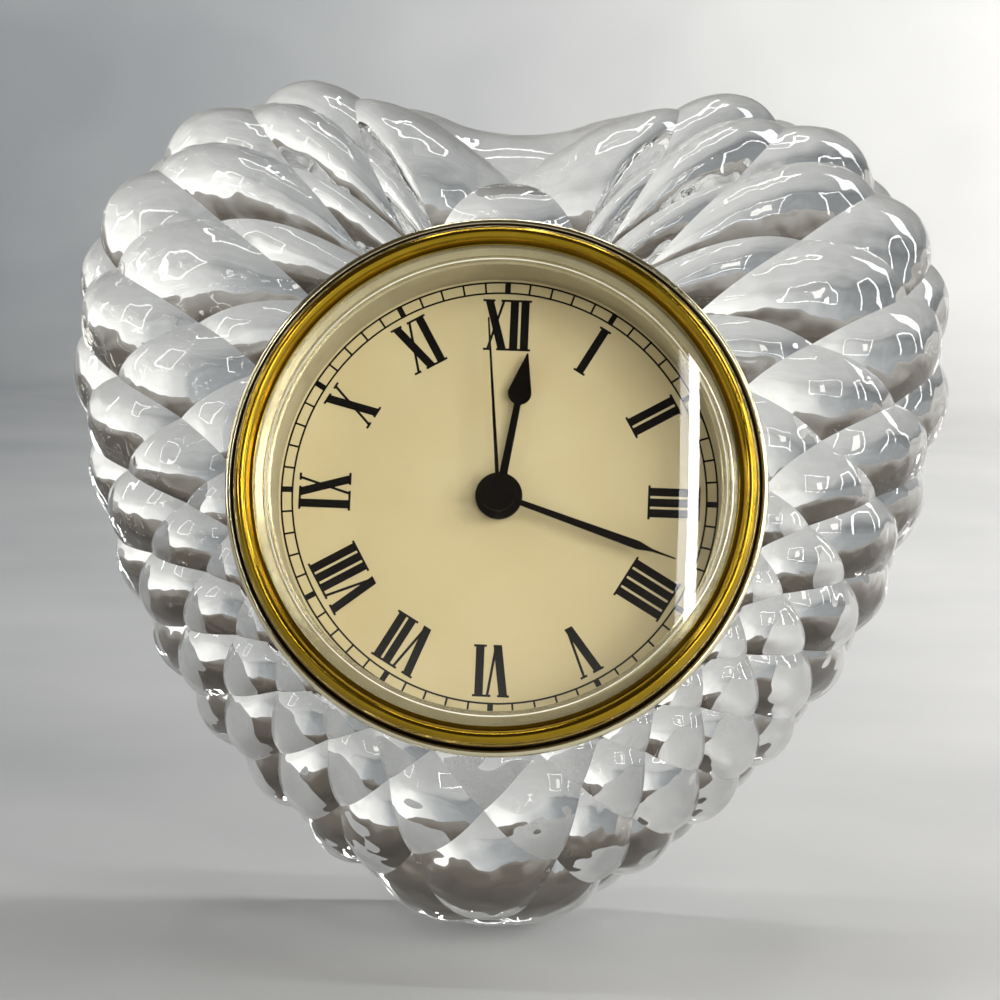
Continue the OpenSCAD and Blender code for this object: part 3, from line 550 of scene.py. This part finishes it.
def lobe_share(count, span):
    """Share of the way, from 0 to 1, through a span of the half heart."""
    start, end = span
    half_way = min(count, DIAMONDS - count) / (DIAMONDS / 2)
    return max(0.0, min(1.0, (half_way - start) / (end - start)))


def eased(share):
    """Share that starts and ends gently."""
    return share**2 * (3 - 2 * share)


def cut_direction(count, level):
    """Direction of a column, which bends towards the notch where it nears the bezel in a lobe."""
    if count > DIAMONDS / 2:
        return 180 - cut_direction(DIAMONDS - count, level)
    bend = LOBE_BEND * math.sin(math.pi * lobe_share(count, BEND_SPAN))
    return diamond_direction(count) + bend * max(0.0, 1 - level / 2) ** BEND_FADE


def cut_row(count, level):
    """Level at which a row lies, moved outwards in the lobes, where the heart is wider."""
    lift = LOBE_LIFT * eased(lobe_share(count, LIFT_SPAN))
    return level + lift * math.sin(math.pi * level / LEVELS)


def across(x):
    """Place across a diamond, from -1 at one groove over 0 at its crown to 1 at the next."""
    return 2 * (x - math.floor(x)) - 1


def groove_depth(count, level):
    """How far the two families of crossing grooves sink the surface."""
    rising, falling = across(level / 2 + count - 0.5), across(level / 2 - count - 0.5)
    deeper = LOBE_DEEP * eased(lobe_share(count, DEEP_SPAN)) * (1 - level / LEVELS)
    return GROOVE_D / 2 * (rising**2 + falling**2) * (1 + deeper)


def cut_point(count, level):
    """Point of the diamond-cut surface."""
    depth = groove_depth(count, level)
    direction = cut_direction(count, level)
    reach = heart_reach(direction)
    level = cut_row(count, level)
    slope = math.radians(min(90.0, SLOPE_RISE * level + SLOPE_GAIN * level * level))
    crown_wide = reach - CUT_R
    if level <= SIDE_LEVEL:
        out, height = CUT_R + crown_wide * math.sin(slope), -CROWN_D * (1 - math.cos(slope))
    else:
        down = level - SIDE_LEVEL
        out = reach - SIDE_TAPER * down**2
        height = -CROWN_D - down * (HEART_T - CROWN_D - BACK_EDGE)
    outward = Vector((CROWN_D * math.sin(slope), crown_wide * math.cos(slope))).normalized()
    section = Vector((out, height)) - outward * (depth + FLAT)
    angle = math.radians(direction)
    return Vector((section.x * math.cos(angle), section.x * math.sin(angle), section.y))


def crystal_heart():
    """Heart with its diamond cutting, ground bore and ground foot."""
    # Steps across half a diamond: the grooves run along the diagonals of the poked squares
    half = 10
    columns, rows = 2 * DIAMONDS * half, LEVELS * half
    bm = bmesh.new()
    level = bm.verts.layers.int.new("level")
    bmesh.ops.create_grid(bm, x_segments=columns, y_segments=rows, size=0.5)
    bmesh.ops.poke(bm, faces=bm.faces[:])
    for vert in bm.verts:
        half_column = round(2 * (vert.co.x + 0.5) * columns)
        half_row = round(2 * (vert.co.y + 0.5) * rows)
        vert[level] = half_row
        vert.co = cut_point(half_column / (4 * half) % DIAMONDS, half_row / (2 * half))
    bmesh.ops.remove_doubles(bm, verts=bm.verts, dist=WELD)

    def ring_of(mark):
        """Open edges of the grid's row with this mark."""
        return [e for e in bm.edges if e.is_boundary and all(v[level] == mark for v in e.verts)]

    def back_rim(turn):
        """Radius of the back face's edge; heart_reach takes directions from -90 to 270."""
        return heart_reach((turn + 90) % 360 - 90) - SIDE_TAPER - BACK_EDGE

    def drawn_in(edges, radius, height):
        """Draw an open ring in to a radius and a height; returns its new open edges."""
        made = bmesh.ops.extrude_edge_only(bm, edges=edges)["geom"]
        for vert in (g for g in made if isinstance(g, bmesh.types.BMVert)):
            vert[level] = -1
            turn = math.atan2(vert.co.y, vert.co.x)
            reach = radius(math.degrees(turn))
            vert.co = Vector((reach * math.cos(turn), reach * math.sin(turn), height))
        return [g for g in made if isinstance(g, bmesh.types.BMEdge) and g.is_boundary]

    front = drawn_in(ring_of(0), lambda turn: SEAT_R, 0.0)
    front = drawn_in(front, lambda turn: BORE_R, 0.0)
    back = drawn_in(ring_of(2 * rows), back_rim, -HEART_T)
    back = drawn_in(back, lambda turn: BORE_R, -HEART_T)
    bore = bmesh.ops.bridge_loops(bm, edges=front + back)["faces"]
    for face in bore:
        face.material_index = 1
    up = Vector((0, math.cos(LEAN), math.sin(LEAN)))
    bmesh.ops.bisect_plane(
        bm,
        geom=bm.verts[:] + bm.edges[:] + bm.faces[:],
        dist=WELD,
        plane_co=-FOOT_DROP * up,
        plane_no=up,
        clear_inner=True,
    )
    bmesh.ops.holes_fill(bm, edges=[e for e in bm.edges if e.is_boundary], sides=0)
    bmesh.ops.recalc_face_normals(bm, faces=bm.faces)
    return bm


piece(
    "crystal_heart_cut", crystal_heart(), "crystal", [CRYSTAL, GROUND], ["crystal_heart"]
)


# The insert's front

BEZEL_R, BEZEL_IN, BEZEL_H = 30.5, 27.2, 3.7
LENS_R, LENS_BACK, LENS_EDGE, LENS_RISE = 27.7, 0.95, 2.15, 2.0
DIAL_TOP, RING_IN, RING_R = -8.5, 25.275, 25.725


def bezel():
    """Bead at the rim, dark crease, broad rounded band and lip on the lens."""
    skirt, foot_round, bead_round, lip = 29.65, 0.15, 0.45, 2.55
    seat_r, seat_h = LENS_R + 0.05, LENS_EDGE + 0.05
    band_in, band_out, band_low = BEZEL_IN + 0.25, BEZEL_R - 0.95, 1.2
    band_middle, band_half = (band_in + band_out) / 2, (band_out - band_in) / 2
    foot_edge = BEZEL_R - foot_round
    bm = turned(
        [(skirt, 0.0), (foot_edge, 0.0)]
        + arc((foot_edge, foot_round), foot_round, foot_round, -60, 0, 3)
        + arc((BEZEL_R - bead_round, 1.0), bead_round, bead_round, 0, 150, 16)
        + arc((band_middle, band_low), band_half, BEZEL_H - band_low, 0, 147, 36)
        + [(band_in, lip), (BEZEL_IN + 0.05, lip), (BEZEL_IN, lip - 0.05), (BEZEL_IN, seat_h)]
        + [(seat_r, seat_h), (seat_r, LENS_BACK), (skirt, LENS_BACK)]
    )
    # Only the top has the crease, from 29.47 to 29.75, and the bead outside it: painted shade in
    # the crease, painted highlight on the bead
    for face in bm.faces:
        middle = face.calc_center_median()
        if middle.z > 0.97 and middle.xy.length > 29.47:
            face.material_index = 1 if middle.xy.length < 29.75 else 2
    return bm


def dome_arc(radius, base, rise, steps=28):
    """Arc of a dome's section, from its edge to the middle."""
    ball = (radius**2 + rise**2) / (2 * rise)
    rim = math.degrees(math.acos(radius / ball))
    return arc((0.0, base + rise - ball), ball, ball, rim, 90.0, steps)


def lens():
    """Domed lens of even thickness with a flat rim."""
    outer = dome_arc(BEZEL_IN - 0.1, LENS_EDGE, LENS_RISE)
    inner = dome_arc(BEZEL_IN - 0.7, LENS_BACK, LENS_RISE)
    return turned([(LENS_R, LENS_BACK), (LENS_R, LENS_EDGE)] + outer + inner[::-1], 160)


def reflector_ring():
    """Ring under the lens: a dished land, two fine ridges and the deep wall down to the dial."""
    foot = 0.1
    bm = turned(
        [(LENS_R, foot), (LENS_R, 0.85), (LENS_R - 0.05, 0.9)]
        + [(27.0, 0.88), (26.92, 0.84), (26.2, 0.5)]
        + arc((26.06, 0.46), 0.1, 0.12, 10, 180, 6)
        + [(25.92, 0.38), (25.86, 0.36)]
        + arc((25.72, 0.34), 0.1, 0.12, 10, 180, 6)
        + [(25.58, 0.26), (25.4, 0.2), (RING_IN, foot)]
        + [(RING_IN, DIAL_TOP), (RING_R, DIAL_TOP), (RING_R, foot)]
    )
    # The wall, well below the land, gets a darker, greyer colour: painted shade
    for face in bm.faces:
        if face.calc_center_median().z < -1:
            face.material_index = 1
    return bm


def gasket():
    """Soft sleeve with rounded ribs that grip the bore."""
    low, top, ribs = -17.7, -1.5, 6
    inside, root, shoulder, crest = 26.45, 26.7, 26.93, 26.95
    pitch = (top - low) / ribs
    rib = ((root, 0), (root, 0.35), (shoulder, 0.55), (crest, 0.68), (shoulder, 0.8))
    outline = [(inside, low)]
    for k in range(ribs):
        outline += [(radius, low + (k + share) * pitch) for radius, share in rib]
    return turned(outline + [(root, top - 0.1), (root - 0.05, top), (inside, top)], 128)


for name, shape, finishes, slot, replaced in (
    ("bezel_band", bezel, [BRASS, CREASE, EDGE], "polished_brass", "bezel_ring"),
    ("domed_lens", lens, [LENS], "lens_glass", "lens"),
    ("stepped_ring", reflector_ring, [RING, SHADED_RING_WALL], "ring_plastic", "reflector_ring"),
    ("ribbed_sleeve", gasket, [GASKET], "gasket_rubber", "ribbed_gasket"),
):
    piece(name, shape(), "insert", finishes, [replaced])


# Printing on the dial

# The ink lies half in the dial and stands out by INK_T
INK_T = 0.03
# Serifs and ticks lie a little lower than what they cross, so that no two faces share a plane
UNDER = -0.004
THICK, THIN, GAP, SERIF = 0.95, 0.3, 0.28, 0.26
LETTER_WIDE = {"I": THICK, "V": 2.5, "X": 2.7}
NUMERAL_LOW, NUMERAL_TOP = 17.0, 22.95
TRACK_CIRCLES = ((23.6, 23.81), (24.84, 25.05))
TICK_LOW, TICK_TOP, TICK_WIDE, HOUR_WIDE = 23.7, 24.95, 0.23, 0.66


def stroke(bm, low, top, width, turn, from_y=NUMERAL_LOW, to_y=NUMERAL_TOP, lift=0.0):
    """Bar of ink that leans from x = low to x = top, turned to its place on the dial."""
    rise = to_y - from_y
    shape = Matrix(
        (
            (width, top - low, 0, (low + top) / 2),
            (0, rise, 0, (from_y + to_y) / 2),
            (0, 0, INK_T * 2, DIAL_TOP + lift),
            (0, 0, 0, 1),
        )
    )
    bmesh.ops.create_cube(bm, size=1, matrix=Matrix.Rotation(-turn, 4, "Z") @ shape)


def serif(bm, x, half, at_top, turn):
    """Slab across the end of a stroke."""
    edge = NUMERAL_TOP if at_top else NUMERAL_LOW
    inner = edge - SERIF if at_top else edge + SERIF
    stroke(bm, x, x, 2 * half, turn, min(edge, inner), max(edge, inner), UNDER)


def glyph(bm, letter, x, turn):
    """One letter of a numeral, with its left side at x."""
    slanted = THICK * 1.02
    if letter == "I":
        middle = x + THICK / 2
        stroke(bm, middle, middle, THICK, turn)
        for at_top in (True, False):
            serif(bm, middle, THICK / 2 + SERIF, at_top, turn)
    elif letter == "V":
        stroke(bm, x + 1.3, x + 0.45, slanted, turn)
        stroke(bm, x + 1.45, x + 2.3, THIN, turn)
        serif(bm, x + 0.45, 0.68, True, turn)
        serif(bm, x + 2.3, 0.42, True, turn)
    else:
        stroke(bm, x + 2.2, x + 0.5, slanted, turn)
        stroke(bm, x + 0.45, x + 2.25, THIN, turn)
        for at_top in (True, False):
            serif(bm, x + (0.5 if at_top else 2.2), 0.7, at_top, turn)
            serif(bm, x + (2.3 if at_top else 0.4), 0.42, at_top, turn)


def numerals():
    """Roman numerals round the dial with their tops outwards and four strokes for four."""
    bm = bmesh.new()
    for hour, letters in enumerate("XII I II III IIII V VI VII VIII IX X XI".split()):
        turn = math.radians(30 * hour)
        x = -(sum(LETTER_WIDE[c] for c in letters) + GAP * (len(letters) - 1)) / 2
        for letter in letters:
            glyph(bm, letter, x, turn)
            x += LETTER_WIDE[letter] + GAP
    return bm


def minute_track():
    """Two fine circles with a tick for each minute and a block for each hour."""
    bm = bmesh.new()
    low, top = DIAL_TOP - INK_T, DIAL_TOP + INK_T
    for inner, outer in TRACK_CIRCLES:
        spun(bm, ((inner, low), (outer, low), (outer, top), (inner, top)), 180)
    for minute in range(60):
        width = HOUR_WIDE if minute % 5 == 0 else TICK_WIDE
        stroke(bm, 0, 0, width, math.radians(6 * minute), TICK_LOW, TICK_TOP, UNDER)
    bmesh.ops.recalc_face_normals(bm, faces=bm.faces)
    return bm


piece("dial_numerals", numerals(), "insert", [INK])
piece("dial_minute_track", minute_track(), "insert", [INK])


# Rounded copies of small parts

# Width of the rounding in millimetres
ROUNDED = {
    "hour_hand": 0.07,
    "minute_hand": 0.07,
    "second_hand": 0.1,
    "back_cover": 0.18,
    "battery_cover": 0.18,
    "setting_knob": 0.2,
    "cover_screws": 0.06,
    "setting_stem": 0.06,
}
for node_name, width in ROUNDED.items():
    softened(node_name, width)


# Stage, lamps and camera


FLOOR_FRONT, FLOOR_BACK, CURVE_R = -1.1, 0.64, 0.18
# Half widths of the sweep in front of the clock and behind it
HALF_FRONT, HALF_BACK = 1.3, 0.6


def sweep():
    """Pale studio sweep: a floor that curves up, far and low behind the clock, into a backdrop."""
    bm = bmesh.new()
    curve = arc((FLOOR_BACK, CURVE_R), CURVE_R, CURVE_R, -90, 0, 15)[1:]
    outline = [(FLOOR_FRONT, 0.0), (FLOOR_BACK, 0.0)] + curve
    points = [bm.verts.new((-HALF_BACK if y > 0 else -HALF_FRONT, y, z)) for y, z in outline]
    edges = [bm.edges.new(pair) for pair in zip(points, points[1:])]
    grown = bmesh.ops.extrude_edge_only(bm, edges=edges)["geom"]
    far_side = [g for g in grown if isinstance(g, bmesh.types.BMVert)]
    bmesh.ops.scale(bm, verts=far_side, vec=(-1, 1, 1))
    bmesh.ops.recalc_face_normals(bm, faces=bm.faces)
    for face in bm.faces:
        face.smooth = True
    mesh = bpy.data.meshes.new("studio_sweep")
    bm.to_mesh(mesh)
    bm.free()
    made = bpy.data.objects.new("studio_sweep", mesh)
    bpy.context.scene.collection.objects.link(made)
    return made


def sweep_paper():
    """Matt pulp paper with painted shade: behind the clock it grows from light grey on the left to
    white.
    """
    material, tree, surface = finish("studio_paper_painted_shade", Roughness=0.75, Specular_IOR_Level=0.2)
    place = add(tree, "ShaderNodeTexCoord").outputs["Object"]
    side = add(tree, "ShaderNodeSeparateXYZ", {"Vector": place})
    # Painted shade: the paper is grey on the left and white on the right, as if the light fell from
    # the right
    painted_shade_sideways = between(tree, side.outputs["X"], -0.2, 0.2, -0.19, 0.14)
    # In front of the clock the paper is one even grey
    behind = between(tree, side.outputs["Y"], 0.0, 1.0, -0.3, -0.1)
    spread = computed(tree, "ADD", computed(tree, "MULTIPLY", painted_shade_sideways, behind), 0.5)
    fibre = between(tree, grain(tree, place, 0.06), -0.03, 0.03)
    tone = computed(tree, "ADD", spread, fibre)
    tree.links.new(tinted(tree, tone, "#A3A8AC", "#F3F3F1"), surface.inputs["Base Color"])
    return material


sweep().data.materials.append(sweep_paper())


def lamp(name, watts, size, stand, tint="#FFFFFF"):
    """Soft rectangular lamp that stands and shines down its own -Z."""
    light = bpy.data.lights.new(name, "AREA")
    light.shape = "RECTANGLE"
    light.size, light.size_y = size
    light.energy = watts
    light.color = colour(tint)[:3]
    made = bpy.data.objects.new(name, light)
    made.matrix_world = stand
    bpy.context.scene.collection.objects.link(made)
    return made


def facing(place, target=(0.0, -0.02, 0.055)):
    """Matrix of something at a place that looks at a target."""
    turn = (Vector(target) - Vector(place)).to_track_quat("-Z", "Y")
    return Matrix.Translation(place) @ turn.to_matrix().to_4x4()


def ahead(right, up, distance):
    """Place in front of the dial, at angles in degrees to the right of and above its own axis."""
    turn, rise = math.radians(right), math.radians(up)
    way = Vector((math.sin(turn) * math.cos(rise), math.sin(rise), math.cos(turn) * math.cos(rise)))
    return STAND @ (way * distance * METRE)


# Watts, then width and height in metres
lamp("key_softbox", 2.2, (0.2, 0.3), facing(ahead(42, 8, 1.1)), "#FFFBF2")
lamp("backdrop_lamp", 2.5, (0.3, 0.3), facing((0.5, 0.3, 0.45), (0.1, 0.8, 0.06)))
# Thin strips behind the clock, each drawn as a white glint on the outermost diamonds
for number, (right, up) in enumerate(((-104, 20), (112, 18), (-10, 108))):
    lamp("glint_strip_%d" % (number + 1), 0.4, (0.02, 0.32), facing(ahead(right, up, 0.85)))


def lamp_frame(name, stand, half_wide, half_high, wide, radiance):
    """Four thin strips round a window, which the cut glass draws as closed bright outlines."""
    for side, at, size in (
        ("left", (-half_wide, 0, 0), (wide, 2 * half_high)),
        ("right", (half_wide, 0, 0), (wide, 2 * half_high)),
        ("top", (0, half_high, 0), (2 * half_wide, wide)),
        ("bottom", (0, -half_high, 0), (2 * half_wide, wide)),
    ):
        watts = radiance * math.pi * size[0] * size[1]
        lamp(name + "_" + side, watts, size, stand @ Matrix.Translation(at))


def lens_window():
    """Stand and half width of the window that the domed lens mirrors beside the dial."""
    middle, side = STAND @ Vector((543, 166, 772)), STAND @ Vector((820, 166, 574))
    wide = (side - middle).normalized()
    high = (STAND.to_3x3() @ Vector((0, 1, 0))).normalized()
    turn = Matrix((wide, high, wide.cross(high))).transposed()
    return Matrix.Translation(middle) @ turn.to_4x4(), (side - middle).length


# Half width and half height in metres, width of the strips, brightness
window_stand, window_half = lens_window()
lamp_frame("window", window_stand, window_half, 0.3, 0.018, 25)
for name, (right, up), half_wide, half_high, radiance in (
    ("left_window", (-62, 20), 0.16, 0.26, 11),
    ("high_window", (0, 94), 0.26, 0.14, 14),
    ("side_window", (88, 10), 0.14, 0.26, 20),
):
    lamp_frame(name, facing(ahead(right, up, 0.9)), half_wide, half_high, 0.03, radiance)


def studio_room():
    """World: plain to the camera, and to the glass a pale floor, dark ceiling and side curtains."""
    world = bpy.data.worlds.new("studio_room")
    bpy.context.scene.world = world
    world.use_nodes = True
    room = world.node_tree
    room.nodes.clear()
    way = add(room, "ShaderNodeTexCoord").outputs["Generated"]
    parts = add(room, "ShaderNodeSeparateXYZ", {"Vector": way})
    walls = add(room, "ShaderNodeValToRGB", {"Fac": parts.outputs["Z"]})
    floor, ceiling = walls.color_ramp.elements
    floor.position, floor.color = 0.0, colour("#CFCDCA")
    ceiling.position, ceiling.color = 1.0, colour("#4A433B")
    for position, hex_code in ((0.12, "#B4B0AA"), (0.26, "#665E55"), (0.5, "#3B342D")):
        walls.color_ramp.elements.new(position).color = colour(hex_code)
    # Dark curtains at both sides, which the edges of clear glass pick up
    curtain = between(room, computed(room, "ABSOLUTE", parts.outputs["X"]), 0.0, 1.0, 0.86, 0.95)
    closed = add(
        room,
        "ShaderNodeMix",
        {0: curtain, 6: walls.outputs["Color"], 7: colour("#39332D")},
        data_type="RGBA",
    )
    ray = add(room, "ShaderNodeLightPath")
    plain = add(room, "ShaderNodeBackground", {"Color": colour("#E2E2E2"), "Strength": 1.0})
    lit = add(room, "ShaderNodeBackground", {"Color": closed.outputs[2], "Strength": 0.9})
    mix = add(
        room,
        "ShaderNodeMixShader",
        {
            0: ray.outputs["Is Camera Ray"],
            1: lit.outputs["Background"],
            2: plain.outputs["Background"],
        },
    )
    add(room, "ShaderNodeOutputWorld", {"Surface": mix.outputs["Shader"]})


studio_room()


def camera():
    """Camera at the photograph's angle: a little below square to the dial and to its right."""
    rise, side, roll = math.radians(6.8), math.radians(2.5), math.radians(1.8)
    away, drop = 0.43, Vector((0.0, 0.0, -0.0018))
    aim = STAND @ Vector((0.54, 0.0, 2.0)) + drop
    flat = math.cos(rise)
    out = Vector((math.sin(side) * flat, -math.cos(side) * flat, math.sin(rise)))
    lens_data = bpy.data.cameras.new("camera")
    lens_data.lens = 138.4
    lens_data.sensor_width = 36.0
    lens_data.clip_start = 0.01
    made = bpy.data.objects.new("camera", lens_data)
    turn = (-out).to_track_quat("-Z", "Y").to_matrix().to_4x4()
    made.matrix_world = Matrix.Translation(aim + out * away) @ turn @ Matrix.Rotation(roll, 4, "Z")
    bpy.context.scene.collection.objects.link(made)
    bpy.context.scene.camera = made


camera()
bpy.context.scene.view_settings.view_transform = "Standard"
